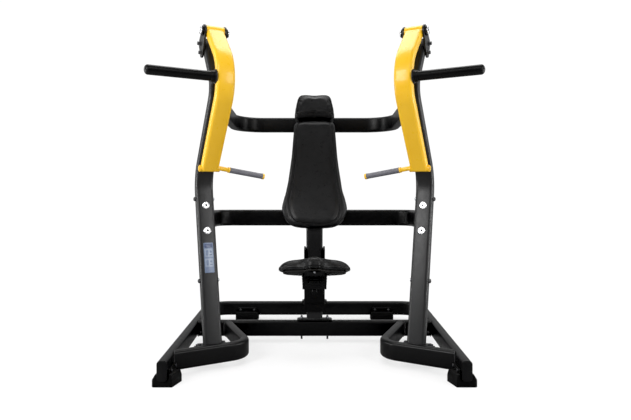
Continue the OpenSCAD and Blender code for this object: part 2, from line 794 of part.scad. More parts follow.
place() base_frame();
place() front_crossmember();
place() loop_tube();  // loop_tube_left
place() rightside() loop_tube();  // loop_tube_right
place() rail_end_caps();
place() front_foot();  // front_foot_left
place() rightside() front_foot();  // front_foot_right
place() both() rear_foot();  // rear_feet
place() both() rear_foot_bracket();  // rear_foot_brackets
place() both() corner_plate();  // corner_plates
place() both() upright_shelf();  // upright_shelves
place() upright();  // upright_left
place() rightside() upright();  // upright_right
place() both() upright_foot_plate();  // upright_foot_plates
place() both() upright_end_cap();  // upright_end_caps
place() lower_crossbar();
place() upper_crossbar();
place() crossbar_flanges();
place() spine_post();
place() spine_flange();
place() spine_brackets();
place() rear_strut();
place() rear_strut_flange();
place() pivot_plates();  // pivot_plates_left
place() rightside() pivot_plates();  // pivot_plates_right
place() pivot_shafts();
place() pivot_collars();
place() pivot_caps();
place() arm();  // arm_left
place() rightside() arm();  // arm_right
place() pivot_bearings();  // pivot_bearings_left
place() rightside() pivot_bearings();  // pivot_bearings_right
place() weight_horn();  // weight_horn_left
place() rightside() weight_horn();  // weight_horn_right
place() horn_end_caps();  // horn_end_caps_left
place() rightside() horn_end_caps();  // horn_end_caps_right
place() handle();  // handle_left
place() rightside() handle();  // handle_right
place() grip();  // grip_left
place() rightside() grip();  // grip_right
place() arm_bumpers();
place() back_board();
place() back_pad();
place() headrest_pad();
place() seat_carriage();
place() carriage_liners();
place() seat_bracket_cover();
place() seat_board();
place() seat_pad();
place() pin_housing();
place() pull_pin();
place() pull_knob();
place() pin_spring();
place() crossbar_bolt_caps();
place() frame_bolts();
place() frame_nuts();
place() seat_bolts();
place() placard();
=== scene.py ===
import json
import math

import bpy
import numpy as np
from mathutils import Matrix, Vector, kdtree
from mathutils.bvhtree import BVHTree


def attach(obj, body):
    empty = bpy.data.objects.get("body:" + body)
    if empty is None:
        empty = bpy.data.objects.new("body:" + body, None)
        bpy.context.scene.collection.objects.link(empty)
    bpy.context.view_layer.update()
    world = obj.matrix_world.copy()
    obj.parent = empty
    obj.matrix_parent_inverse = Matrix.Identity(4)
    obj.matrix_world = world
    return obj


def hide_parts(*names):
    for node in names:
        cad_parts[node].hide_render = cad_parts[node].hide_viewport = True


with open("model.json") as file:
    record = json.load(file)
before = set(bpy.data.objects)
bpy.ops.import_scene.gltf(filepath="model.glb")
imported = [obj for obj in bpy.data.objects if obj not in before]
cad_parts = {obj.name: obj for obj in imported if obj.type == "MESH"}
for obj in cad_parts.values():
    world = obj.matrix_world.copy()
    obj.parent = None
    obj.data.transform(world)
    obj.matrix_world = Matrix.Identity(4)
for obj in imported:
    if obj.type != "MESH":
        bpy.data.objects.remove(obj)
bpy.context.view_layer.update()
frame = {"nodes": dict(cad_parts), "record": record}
nodes = frame["nodes"]
rec = frame["record"]
scene = bpy.context.scene
SLOT = {p["node"]: p["material_slot"] for p in rec["subparts"]}
rng = np.random.default_rng(7)

# ------------------------------------------------------------------ node materials


def N(nt, kind, ins=None, **props):
    nd = nt.nodes.new(kind)
    for k, v in props.items():
        setattr(nd, k, v)
    for k, v in (ins or {}).items():
        s = nd.inputs[k]
        if isinstance(v, bpy.types.NodeSocket):
            nt.links.new(v, s)
        else:
            s.default_value = v
    return nd


def rgb(c):
    return (c[0], c[1], c[2], 1.0)


def mixc(nt, f, a, b, blend="MIX"):
    m = N(nt, "ShaderNodeMix", {0: f, 6: a, 7: b}, data_type="RGBA", blend_type=blend)
    return m.outputs[2]


def mixf(nt, f, a, b):
    m = N(nt, "ShaderNodeMix", {0: f, 2: a, 3: b}, data_type="FLOAT")
    return m.outputs[0]


def ramp(nt, v, a, b, c=0.0, d=1.0):
    return N(nt, "ShaderNodeMapRange", {"Value": v, "From Min": a, "From Max": b, "To Min": c, "To Max": d}).outputs[0]


def math_(nt, op, a, b=0.0):
    return N(nt, "ShaderNodeMath", {0: a, 1: b}, operation=op).outputs[0]


def noise(nt, p, scale, detail=3.0, rough=0.5, distort=0.0):
    return N(nt, "ShaderNodeTexNoise", {"Vector": p, "Scale": scale, "Detail": detail, "Roughness": rough, "Distortion": distort}).outputs["Fac"]


def stretch(nt, p, s):
    return N(nt, "ShaderNodeMapping", {"Vector": p, "Scale": s}).outputs["Vector"]


def start(name):
    m = bpy.data.materials.new(name)
    m.use_nodes = True
    nt = m.node_tree
    nt.nodes.clear()
    out = N(nt, "ShaderNodeOutputMaterial")
    b = N(nt, "ShaderNodeBsdfPrincipled")
    nt.links.new(b.outputs[0], out.inputs[0])
    p = N(nt, "ShaderNodeTexCoord").outputs["Object"]
    return m, nt, b, p


def put(nt, b, **ins):
    for k, v in ins.items():
        s = b.inputs[k.replace("_", " ")]
        if isinstance(v, bpy.types.NodeSocket):
            nt.links.new(v, s)
        else:
            s.default_value = v


def edge_mask(nt, radius, lo=0.03, hi=0.3):
    bv = N(nt, "ShaderNodeBevel", {"Radius": radius}, samples=4).outputs[0]
    g = N(nt, "ShaderNodeNewGeometry").outputs["Normal"]
    d = N(nt, "ShaderNodeVectorMath", {0: bv, 1: g}, operation="DOT_PRODUCT").outputs["Value"]
    return ramp(nt, math_(nt, "SUBTRACT", 1.0, d), lo, hi)


def paint(name, c1, c2, r1, r2, grain=650.0, bump=0.1, dist=0.0003, coat=0.0, coat_r=0.12, spec=0.5, wear=(0.12, 0.12, 0.12), amount=0.5, dust=0.05, cell=None):
    """Powder coat: cloudy tone, orange-peel bump, dust on upward faces and rubbed edges."""
    m, nt, b, p = start(name)
    n1 = ramp(nt, noise(nt, p, 5.0, 4.0, 0.55), 0.3, 0.7)
    n2 = ramp(nt, noise(nt, p, 38.0, 6.0, 0.65), 0.3, 0.7)
    n3 = noise(nt, p, grain, 2.0, 0.6)
    col = mixc(nt, n1, rgb(c1), rgb(c2))
    col = mixc(nt, math_(nt, "MULTIPLY", n3, 0.18), col, rgb([x * 0.6 for x in c1]))
    up = N(nt, "ShaderNodeSeparateXYZ", {0: N(nt, "ShaderNodeNewGeometry").outputs["Normal"]}).outputs[2]
    du = math_(nt, "MULTIPLY", math_(nt, "MULTIPLY", ramp(nt, up, 0.55, 1.0), n2), dust)
    col = mixc(nt, du, col, rgb((0.42, 0.41, 0.39)))
    e = math_(nt, "MULTIPLY", math_(nt, "MULTIPLY", edge_mask(nt, 0.0016), ramp(nt, noise(nt, p, 90.0, 5.0, 0.7), 0.42, 0.62)), amount)
    col = mixc(nt, e, col, rgb(wear))
    ro = mixf(nt, n2, r1, r2)
    ro = mixf(nt, du, ro, 0.8)
    peel = noise(nt, p, grain * 0.35, 2.0, 0.5)
    h = math_(nt, "ADD", n3, peel)
    bp = N(nt, "ShaderNodeBump", {"Strength": bump, "Distance": dist, "Height": h}).outputs[0]
    put(nt, b, Base_Color=col, Roughness=ro, Normal=bp, Coat_Weight=coat, Coat_Roughness=coat_r)
    b.inputs["Specular IOR Level"].default_value = spec
    return m


def rubber(name, c1, c2, r1=0.62, r2=0.8, grain=900.0, bump=0.25, spec=0.35):
    m, nt, b, p = start(name)
    n1 = ramp(nt, noise(nt, p, 14.0, 5.0, 0.6), 0.3, 0.7)
    n2 = ramp(nt, noise(nt, p, 60.0, 4.0, 0.6), 0.3, 0.7)
    sp = N(nt, "ShaderNodeTexVoronoi", {"Vector": p, "Scale": grain}, feature="F1").outputs["Distance"]
    col = mixc(nt, n1, rgb(c1), rgb(c2))
    up = N(nt, "ShaderNodeSeparateXYZ", {0: N(nt, "ShaderNodeNewGeometry").outputs["Normal"]}).outputs[2]
    col = mixc(nt, math_(nt, "MULTIPLY", math_(nt, "MULTIPLY", ramp(nt, up, 0.6, 1.0), n2), 0.015), col, rgb((0.4, 0.39, 0.37)))
    e = math_(nt, "MULTIPLY", math_(nt, "MULTIPLY", edge_mask(nt, 0.0015), n2), 0.3)
    col = mixc(nt, e, col, rgb([min(1, x * 2.6 + 0.02) for x in c1]))
    h = math_(nt, "ADD", math_(nt, "MULTIPLY", sp, 0.6), noise(nt, p, grain * 0.4, 2.0))
    bp = N(nt, "ShaderNodeBump", {"Strength": bump, "Distance": 0.0003, "Height": h}).outputs[0]
    put(nt, b, Base_Color=col, Roughness=mixf(nt, n1, r1, r2), Normal=bp)
    b.inputs["Specular IOR Level"].default_value = spec
    return m


def metal(name, c1, c2, r1, r2, lines=(1.0, 1.0, 1.0), bump=0.06, grain=1100.0):
    m, nt, b, p = start(name)
    q = stretch(nt, p, lines)
    n1 = ramp(nt, noise(nt, p, 22.0, 4.0, 0.6), 0.3, 0.7)
    n2 = ramp(nt, noise(nt, q, grain, 3.0, 0.6), 0.25, 0.75)
    col = mixc(nt, n1, rgb(c1), rgb(c2))
    col = mixc(nt, math_(nt, "MULTIPLY", n2, 0.25), col, rgb([x * 0.72 for x in c1]))
    e = math_(nt, "MULTIPLY", edge_mask(nt, 0.0008), 0.4)
    col = mixc(nt, e, col, rgb([min(1.0, x * 1.25) for x in c1]))
    bp = N(nt, "ShaderNodeBump", {"Strength": bump, "Distance": 0.0002, "Height": n2}).outputs[0]
    put(nt, b, Base_Color=col, Roughness=mixf(nt, n2, r1, r2), Metallic=0.95, Normal=bp)
    return m


def vinyl(name, c1, c2, r1=0.36, r2=0.5, cell=620.0, bump=0.32, spec=0.27):
    """Upholstery vinyl: pebbled grain of about 1.5 mm cells, with gloss that varies softly in patches."""
    m, nt, b, p = start(name)
    warp = N(nt, "ShaderNodeVectorMath", {0: p, 1: N(nt, "ShaderNodeVectorMath", {0: N(nt, "ShaderNodeTexNoise", {"Vector": p, "Scale": 240.0, "Detail": 2.0}).outputs["Color"], 1: (0.0011, 0.0011, 0.0011)}, operation="MULTIPLY").outputs[0]}, operation="ADD").outputs[0]
    v1 = N(nt, "ShaderNodeTexVoronoi", {"Vector": warp, "Scale": cell}, feature="DISTANCE_TO_EDGE").outputs["Distance"]
    g = ramp(nt, v1, 0.0, 0.22)
    n1 = ramp(nt, noise(nt, p, 7.0, 4.0, 0.55), 0.3, 0.7)
    n2 = ramp(nt, noise(nt, p, 30.0, 5.0, 0.6), 0.3, 0.7)
    n3 = noise(nt, p, 2400.0, 2.0)
    col = mixc(nt, n1, rgb(c1), rgb(c2))
    col = mixc(nt, math_(nt, "MULTIPLY", math_(nt, "SUBTRACT", 1.0, g), 0.5), col, rgb([x * 0.35 for x in c1]))
    h = math_(nt, "ADD", g, math_(nt, "ADD", math_(nt, "MULTIPLY", n3, 0.35), math_(nt, "MULTIPLY", noise(nt, p, 75.0, 3.0), 1.2)))
    bp = N(nt, "ShaderNodeBump", {"Strength": bump, "Distance": 0.00035, "Height": h}).outputs[0]
    ro = mixf(nt, n2, r1, r2)
    ro = mixf(nt, math_(nt, "MULTIPLY", math_(nt, "SUBTRACT", 1.0, g), 0.6), ro, 0.75)
    put(nt, b, Base_Color=col, Roughness=ro, Normal=bp, Coat_Weight=0.05, Coat_Roughness=0.2)
    b.inputs["Specular IOR Level"].default_value = spec
    return m


def board(name):
    m, nt, b, p = start(name)
    q = stretch(nt, p, (14.0, 1.0, 1.0))
    n1 = ramp(nt, noise(nt, q, 24.0, 6.0, 0.65, 0.4), 0.3, 0.7)
    n2 = ramp(nt, noise(nt, p, 12.0, 4.0), 0.3, 0.7)
    ply = N(nt, "ShaderNodeTexWave", {"Vector": p, "Scale": 260.0, "Distortion": 0.6, "Detail": 2.0}, bands_direction="Z").outputs["Fac"]
    col = mixc(nt, n1, rgb((0.004, 0.0038, 0.0036)), rgb((0.009, 0.0083, 0.0076)))
    col = mixc(nt, math_(nt, "MULTIPLY", ply, 0.25), col, rgb((0.014, 0.012, 0.010)))
    bp = N(nt, "ShaderNodeBump", {"Strength": 0.25, "Distance": 0.0004, "Height": n1}).outputs[0]
    put(nt, b, Base_Color=col, Roughness=mixf(nt, n2, 0.5, 0.7), Normal=bp)
    b.inputs["Specular IOR Level"].default_value = 0.15
    return m


def printed(name, c1, c2):
    m, nt, b, p = start(name)
    n1 = ramp(nt, noise(nt, p, 30.0, 4.0), 0.3, 0.7)
    dots = N(nt, "ShaderNodeTexVoronoi", {"Vector": p, "Scale": 2600.0}, feature="F1").outputs["Distance"]
    col = mixc(nt, n1, rgb(c1), rgb(c2))
    col = mixc(nt, ramp(nt, dots, 0.1, 0.5, 0.12, 0.0), col, rgb([x * 0.7 for x in c1]))
    e = math_(nt, "MULTIPLY", edge_mask(nt, 0.0006), 0.5)
    col = mixc(nt, e, col, rgb((0.8, 0.8, 0.8)))
    bp = N(nt, "ShaderNodeBump", {"Strength": 0.05, "Distance": 0.0001, "Height": n1}).outputs[0]
    put(nt, b, Base_Color=col, Roughness=mixf(nt, n1, 0.28, 0.4), Normal=bp, Coat_Weight=0.3, Coat_Roughness=0.15)
    return m


def thread(name):
    m, nt, b, p = start(name)
    n1 = noise(nt, stretch(nt, p, (1, 1, 1)), 1800.0, 2.0)
    col = mixc(nt, n1, rgb((0.012, 0.012, 0.012)), rgb((0.035, 0.035, 0.037)))
    bp = N(nt, "ShaderNodeBump", {"Strength": 0.5, "Distance": 0.0002, "Height": n1}).outputs[0]
    put(nt, b, Base_Color=col, Roughness=0.7, Normal=bp)
    return m


M = {
    "powder_black": paint("powder_black", (0.0016, 0.0016, 0.0018), (0.0032, 0.0032, 0.0034), 0.28, 0.38, spec=0.22, bump=0.12, wear=(0.05, 0.05, 0.05), amount=0.3, dust=0.006),
    "powder_charcoal": paint("powder_charcoal", (0.0125, 0.0125, 0.013), (0.018, 0.018, 0.0185), 0.28, 0.38, spec=0.28, bump=0.12, wear=(0.10, 0.10, 0.10), amount=0.3, dust=0.01),
    "powder_yellow": paint("powder_yellow", (0.89, 0.505, 0.020), (0.94, 0.56, 0.030), 0.26, 0.34, bump=0.07, dist=0.0002, coat=0.2, coat_r=0.08, spec=0.3, wear=(0.55, 0.30, 0.06), amount=0.35, dust=0.03),
    "zinc": metal("zinc", (0.55, 0.56, 0.58), (0.42, 0.43, 0.46), 0.26, 0.42, lines=(1, 1, 5)),
    "silver_caps": metal("silver_caps", (0.80, 0.80, 0.82), (0.68, 0.68, 0.70), 0.2, 0.34, bump=0.04),
    "dark_bolts": paint("dark_bolts", (0.030, 0.030, 0.033), (0.055, 0.055, 0.058), 0.3, 0.45, bump=0.1, wear=(0.3, 0.3, 0.3), amount=0.6, dust=0.03),
    "rubber_black": rubber("rubber_black", (0.0022, 0.0022, 0.0022), (0.004, 0.004, 0.004), 0.42, 0.6, spec=0.12),
    "grip_rubber": rubber("grip_rubber", (0.115, 0.115, 0.135), (0.145, 0.145, 0.166), 0.40, 0.54, bump=0.18, spec=0.5),
    "plastic_black": rubber("plastic_black", (0.0025, 0.0025, 0.0028), (0.0045, 0.0045, 0.0048), 0.32, 0.46, grain=1300.0, bump=0.12, spec=0.2),
    "liner_white": rubber("liner_white", (0.62, 0.61, 0.57), (0.72, 0.71, 0.67), 0.4, 0.55, bump=0.08),
    "board": board("board"),
    "vinyl_black": vinyl("vinyl_black", (0.0016, 0.0016, 0.0019), (0.0032, 0.0032, 0.0036), 0.25, 0.35, bump=0.2),
    "placard_blue": printed("placard_blue", (0.12, 0.165, 0.26), (0.15, 0.195, 0.295)),
}
weldm = paint("weld_black", (0.008, 0.008, 0.0085), (0.014, 0.014, 0.0145), 0.3, 0.5, grain=420.0, bump=0.3, amount=0.25)
threadm = thread("thread_black")
# welt-cord vinyl with a finer grain than the pad; its lighter tone than the pad vinyl is a painted highlight along the
# panel seams
welt_highlightm = vinyl("welt_vinyl_painted_highlight", (0.0048, 0.0048, 0.005), (0.008, 0.008, 0.0084), 0.28, 0.4, cell=800.0)
# hex sockets in the silver caps: the near-black paint on the socket floor and walls is painted shade in the recess
socket_shadem = paint("socket_painted_shade", (0.006, 0.006, 0.006), (0.012, 0.012, 0.012), 0.4, 0.6)
print_dark = printed("print_dark", (0.045, 0.068, 0.14), (0.058, 0.082, 0.165))
print_pale = printed("print_pale", (0.22, 0.27, 0.36), (0.26, 0.31, 0.40))

# ------------------------------------------------------------------ carried-over CAD nodes

BEVEL = {"front_foot_left": 2.5, "front_foot_right": 2.5, "rear_feet": 3.0, "rear_foot_brackets": 1.0, "corner_plates": 1.0,
         "upright_shelves": 0.9, "upright_foot_plates": 1.2, "crossbar_flanges": 1.0, "spine_flange": 1.2, "rear_strut_flange": 1.2,
         "spine_brackets": 1.0, "pivot_plates_left": 1.2, "pivot_plates_right": 1.2, "pivot_collars": 1.2, "arm_bumpers": 3.0,
         "seat_carriage": 0.9, "seat_bracket_cover": 1.0, "seat_board": 1.5, "back_board": 1.5, "upright_end_caps": 1.6,
         "rail_end_caps": 1.2, "frame_bolts": 0.9, "frame_nuts": 0.7, "seat_bolts": 0.8, "pin_housing": 0.7, "pull_pin": 0.8,
         "placard": 0.3, "handle_left": 0.9, "handle_right": 0.9, "weight_horn_left": 1.2, "weight_horn_right": 1.2}


def dress(o, name):
    me = o.data
    for a in ("custom_normal", "sharp_edge", "sharp_face"):
        if a in me.attributes:
            me.attributes.remove(me.attributes[a])
    me.polygons.foreach_set("use_smooth", [True] * len(me.polygons))
    me.materials.clear()
    me.materials.append(M[SLOT[name]])
    me.polygons.foreach_set("material_index", [0] * len(me.polygons))
    w = o.modifiers.new("weld", "WELD")
    w.merge_threshold = 2e-6
    if name in BEVEL:
        b = o.modifiers.new("edges", "BEVEL")
        b.width = BEVEL[name] / 1000
        b.segments = 2
        b.limit_method = "ANGLE"
        b.angle_limit = math.radians(38)
        b.use_clamp_overlap = True
        b.harden_normals = False
    e = o.modifiers.new("sharp", "EDGE_SPLIT")
    e.split_angle = math.radians(47 if name in BEVEL else 32)
    e.use_edge_sharp = False


for nm, ob in nodes.items():
    dress(ob, nm)

# ------------------------------------------------------------------ mesh helpers

D = math.radians
MID = 0.01895  # the plan box is centred on Y = 0
MSIDE = Matrix.Translation((-0.551, -0.423 + MID, 0)) @ Matrix.Rotation(D(27), 4, "Z")
MIR = Matrix.Diagonal((-1, 1, 1, 1))
TM = Matrix.Translation((0, MID, 0))
LEAN1 = math.atan(150 / 720)
LEAN2 = math.atan(215 / 305)
SIDES = (("left", Matrix.Identity(4)), ("right", MIR))


def lean1(z):
    return MSIDE @ Matrix.Translation((0, (z - 130) * 150 / 720 / 1000, z / 1000)) @ Matrix.Rotation(-LEAN1, 4, "X")


def lean2(z):
    return MSIDE @ Matrix.Translation((0, (155 - 215 / 305 * (z - 1064)) / 1000, z / 1000)) @ Matrix.Rotation(LEAN2, 4, "X")


class Build:
    """Gathers vertices and faces of one piece, in metres in the row frame."""

    def __init__(self):
        self.v, self.f, self.m = [], [], []

    def add(self, verts, faces, mat=None, index=0):
        k = len(self.v)
        mat = mat or Matrix.Identity(4)
        flip = mat.determinant() < 0
        self.v += [mat @ Vector(q) for q in verts]
        for f in faces:
            f = [k + i for i in f]
            self.f.append(f[::-1] if flip else f)
            self.m.append(index)

    def make(self, name, body, materials, replaces=(), angle=35.0):
        me = bpy.data.meshes.new(name)
        me.from_pydata([tuple(q) for q in self.v], [], self.f)
        me.update()
        for mt in materials:
            me.materials.append(mt)
        me.polygons.foreach_set("material_index", self.m)
        me.polygons.foreach_set("use_smooth", [True] * len(me.polygons))
        me.set_sharp_from_angle(angle=D(angle))
        o = bpy.data.objects.new(name, me)
        scene.collection.objects.link(o)
        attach(o, body)
        if replaces:
            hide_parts(*replaces)
        return o


def lathe(profile, seg=64, shape=None):
    """Solid of revolution about +Z from (radius, height) in mm, listed from the top centre outwards and down. shape(i, angle) scales ring i."""
    v, f, rings = [], [], []
    for i, (r, h) in enumerate(profile):
        if r < 1e-6:
            rings.append([len(v)])
            v.append((0, 0, h / 1000))
        else:
            rings.append(list(range(len(v), len(v) + seg)))
            for j in range(seg):
                a = 2 * math.pi * j / seg
                k = shape(i, a) if shape else 1.0
                v.append((r * k * math.cos(a) / 1000, r * k * math.sin(a) / 1000, h / 1000))
    for a, b in zip(rings, rings[1:]):
        for j in range(seg):
            k = (j + 1) % seg
            if len(a) == 1:
                f.append([a[0], b[j], b[k]])
            elif len(b) == 1:
                f.append([a[j], b[0], a[k]])
            else:
                f.append([a[j], b[j], b[k], a[k]])
    return v, f


def sweep(points, radius, seg=10, closed=True, ripple=0.0, pitch=0.004):
    """Round bead or cord along a path in metres."""
    n = len(points)
    pts = [Vector(p) for p in points]
    v, f, s = [], [], 0.0
    up = None
    for i in range(n):
        a = pts[(i - 1) % n] if (closed or i > 0) else pts[i]
        b = pts[(i + 1) % n] if (closed or i < n - 1) else pts[i]
        t = (b - a).normalized()
        if up is None:
            up = t.orthogonal().normalized()
        up = (up - t * up.dot(t)).normalized()
        side_ = t.cross(up)
        r = radius * (1 + ripple * math.sin(2 * math.pi * s / pitch))
        for j in range(seg):
            q = 2 * math.pi * j / seg
            v.append(pts[i] + up * (r * math.cos(q)) + side_ * (r * math.sin(q)))
        s += (b - pts[i]).length
    off = 0
    if closed:  # the first ring meets the last at the nearest turn
        d = [(v[(n - 1) * seg] - v[j]).length for j in range(seg)]
        off = int(np.argmin(d))
    for i in range(n if closed else n - 1):
        k = (i + 1) % n
        o = off if (closed and k == 0) else 0
        for j in range(seg):
            j2 = (j + 1) % seg
            f.append([i * seg + j, i * seg + j2, k * seg + (j2 + o) % seg, k * seg + (j + o) % seg])
    if not closed:
        f.append(list(range(seg))[::-1])
        f.append([(n - 1) * seg + j for j in range(seg)])
    return v, f


def rr(w, h, r, n=8):
    out = []
    for c in range(4):
        sx = 1 if c in (0, 3) else -1
        sy = 1 if c < 2 else -1
        for i in range(n + 1):
            a = D(90 * c + 90 * i / n)
            out.append((sx * (w / 2 - r) + r * math.cos(a), sy * (h / 2 - r) + r * math.sin(a)))
    return out


def even(points, step, closed=True):
    """Points at an even spacing along a polyline."""
    p = [Vector(q) for q in points]
    if closed:
        p = p + [p[0]]
    L = [0.0]
    for a, b in zip(p, p[1:]):
        L.append(L[-1] + (b - a).length)
    n = max(4, int(L[-1] / step))
    out, j = [], 0
    for i in range(n if closed else n + 1):
        s = L[-1] * i / n
        while j < len(L) - 2 and L[j + 1] < s:
            j += 1
        k = (s - L[j]) / max(1e-12, L[j + 1] - L[j])
        out.append(p[j].lerp(p[j + 1], k))
    return out


def chaikin(points, times=3, closed=True):
    p = [Vector(q) for q in points]
    for _ in range(times):
        q = []
        n = len(p)
        for i in range(n if closed else n - 1):
            a, b = p[i], p[(i + 1) % n]
            q += [a.lerp(b, 0.25), a.lerp(b, 0.75)]
        p = q
    return p


def through(points, n=6):
    """Closed smooth curve through the points (centripetal Catmull-Rom), so a rounded outline keeps its full width."""
    p = [Vector(q) for q in points]
    m, out = len(p), []
    for i in range(m):
        p0, p1, p2, p3 = p[i - 1], p[i], p[(i + 1) % m], p[(i + 2) % m]
        t0 = 0.0
        t1 = t0 + max(1e-6, (p1 - p0).length ** 0.5)
        t2 = t1 + max(1e-6, (p2 - p1).length ** 0.5)
        t3 = t2 + max(1e-6, (p3 - p2).length ** 0.5)
        for k in range(n):
            t = t1 + (t2 - t1) * k / n
            a1 = p0 * ((t1 - t) / (t1 - t0)) + p1 * ((t - t0) / (t1 - t0))
            a2 = p1 * ((t2 - t) / (t2 - t1)) + p2 * ((t - t1) / (t2 - t1))
            a3 = p2 * ((t3 - t) / (t3 - t2)) + p3 * ((t - t2) / (t3 - t2))
            b1 = a1 * ((t2 - t) / (t2 - t0)) + a2 * ((t - t0) / (t2 - t0))
            b2 = a2 * ((t3 - t) / (t3 - t1)) + a3 * ((t - t1) / (t3 - t1))
            out.append(b1 * ((t2 - t) / (t2 - t1)) + b2 * ((t - t1) / (t2 - t1)))
    return out


# ------------------------------------------------------------------ turned and sewn hardware


def hexr(j0):
    """Ring j0 and j0 + 1 are the walls of a hexagon socket."""
    def g(i, a):
        if i in (j0, j0 + 1):
            return math.cos(D(30)) / math.cos((a % D(60)) - D(30)) * 1.12
        return 1.0
    return g


def cap_profile(R, top, foot=0.0, shaft=0.0, length=0.0):
    s = R / 21.0
    p = [(0, top - 3.2), (6.2 * s, top - 3.2), (6.2 * s, top - 0.9), (7.6 * s, top - 0.6), (13.4 * s, top - 1.5), (14.6 * s, top - 1.3),
         (16.2 * s, top - 0.2), (17.2 * s, top), (18.6 * s, top - 0.3), (20.2 * s, top - 1.9), (R - 0.2, top - 3.1), (R, top - 3.5), (R, foot + 0.3), (R - 0.3, foot)]
    if shaft:
        p += [(shaft, foot), (shaft, foot - length), (0, foot - length)]
    else:
        p += [(0, foot)]
    return p


b = Build()
for _, mr in SIDES:
    for z in (720, 860):
        m = mr @ lean1(z) @ Matrix.Translation((0, -0.02505, 0)) @ Matrix.Rotation(D(90), 4, "X")
        v, f = lathe(cap_profile(21.0, 6.0, 0.0, 7.0, 64.0), 72, hexr(1))
        b.add(v, f, m)
        k = len(b.f) - len(f)
        # the socket floor and walls take the painted-shade material
        for q in range(72 * 2):
            b.m[k + q] = 1
b.make("crossbar_bolt_caps_turned", "frame", [M["silver_caps"], socket_shadem], ["crossbar_bolt_caps"])

PIV = MSIDE @ Matrix.Translation((0, -0.035, 1.792))
b = Build()
for _, mr in SIDES:
    for sgn in (1, -1):
        m = mr @ PIV @ Matrix.Rotation(D(90 * sgn), 4, "Y") @ Matrix.Translation((0, 0, 0.07205))
        v, f = lathe(cap_profile(20.0, 6.0), 72, hexr(1))
        b.add(v, f, m)
        k = len(b.f) - len(f)
        # the socket floor and walls take the painted-shade material
        for q in range(72 * 2):
            b.m[k + q] = 1
b.make("pivot_caps_turned", "frame", [M["silver_caps"], socket_shadem], ["pivot_caps"])

HORN = MSIDE @ Matrix.Translation((0, -0.216, 1.515))
GRIP = MSIDE @ Matrix.Translation((0.0501, 0.06, 1.072)) @ Matrix.Rotation(D(9), 4, "Y") @ Matrix.Rotation(D(90), 4, "Y")
for sd, mr in SIDES:
    # domed horn plug
    R = 24.5
    prof = [(0, 17.85)] + [((R - 0.15) * math.sin(D(t)), 17.85 * math.cos(D(t))) for t in range(6, 90, 6)]
    prof += [(R, 0.5), (R - 0.3, 0.0), (19.8, 0.0), (19.8, -17.2), (19.2, -17.9), (0, -17.9)]
    b = Build()
    v, f = lathe(prof, 64)
    b.add(v, f, mr @ HORN @ Matrix.Translation((-0.37915, 0, 0)) @ Matrix.Rotation(D(-90), 4, "Y"))
    b.make("horn_plug_" + sd, sd + "_arm", [M["plastic_black"]], ["horn_end_caps_" + sd])
    # ribbed sleeve grip between two collars
    g0, g1, rg = 66.1, 264.1, 15.5
    prof = [(11.05, g0)]
    prof += [(rg + 0.2, g0), (rg + 0.8, g0 + 0.5), (rg + 1.0, g0 + 1.4), (rg + 1.0, g0 + 4.6), (rg + 0.6, g0 + 5.6), (rg - 0.1, g0 + 6.4)]
    s = g0 + 9.0
    while s < g1 - 12.0:
        prof += [(rg - 0.05, s), (rg, s + 0.5), (rg, s + 2.9), (rg - 0.05, s + 3.3), (rg - 0.42, s + 3.75)]
        s += 4.2
    prof += [(rg - 0.1, g1 - 6.4), (rg + 0.6, g1 - 5.6), (rg + 1.0, g1 - 4.6), (rg + 1.0, g1 - 1.4), (rg + 0.8, g1 - 0.5), (rg + 0.2, g1), (11.05, g1)]
    v, f = lathe(prof[::-1], 48)
    n = len(prof)
    f += [[j, (j + 1) % 48, (n - 1) * 48 + (j + 1) % 48, (n - 1) * 48 + j] for j in range(48)]
    b = Build()
    b.add(v, f, mr @ GRIP)
    b.make("ribbed_grip_" + sd, sd + "_arm", [M["grip_rubber"]], ["grip_" + sd], angle=50)

# lobed pull knob
def loft(rings, close_low=True, close_high=True):
    v, f = [], []
    n = len(rings[0])
    for r in rings:
        v += [tuple(q) for q in r]
    for i in range(len(rings) - 1):
        for j in range(n):
            k = (j + 1) % n
            f.append([i * n + j, i * n + k, (i + 1) * n + k, (i + 1) * n + j])
    if close_low:
        f.append(list(range(n))[::-1])
    if close_high:
        f.append([(len(rings) - 1) * n + j for j in range(n)])
    return v, f


MPOST = Matrix.Translation((0, 0.108 + MID, 0.140)) @ Matrix.Rotation(D(14), 4, "X")
KNOB = MPOST @ Matrix.Translation((0, -0.063, 0.216)) @ Matrix.Rotation(D(90), 4, "X")


def lobes(i, a):
    return 1.0 + (0.035 * math.cos(8 * a) - 0.035 if 5 <= i <= 10 else 0.0)


prof = [(0, 25.4), (6, 25.6), (10, 26.0), (13.0, 25.8), (15.0, 24.6), (17.0, 22.4), (18.0, 20.0), (18.0, 14.0), (18.0, 9.0), (17.4, 7.0), (16.0, 6.0),
        (13.4, 5.6), (13.0, 4.8), (13.0, 0.3), (12.7, 0), (5.0, 0), (5.0, 16.0), (0, 16.0)]
b = Build()
v, f = lathe(prof, 96, lobes)
b.add(v, f, KNOB)
b.make("pull_knob_lobed", "pull_pin", [M["plastic_black"]], ["pull_knob"])

# wear strips that fill the gap between the post and the carriage's side plates
b = Build()
for sx in (-1, 1):
    rings_ = []
    for t_, grow in ((50.35, -0.6), (50.7, -0.15), (51.2, 0.0), (52.8, 0.0), (53.3, -0.15), (53.65, -0.6)):
        rings_.append([(sx * t_ / 1000, (-4.0 + q[0]) / 1000, (409.0 + q[1]) / 1000) for q in rr(56 + 2 * grow, 122 + 2 * grow, 5 + grow, 6)])
    v, f = loft(rings_ if sx > 0 else rings_[::-1])
    b.add(v, f, MPOST)
b.make("carriage_wear_strips", "seat", [M["plastic_black"]])

# ------------------------------------------------------------------ weld beads


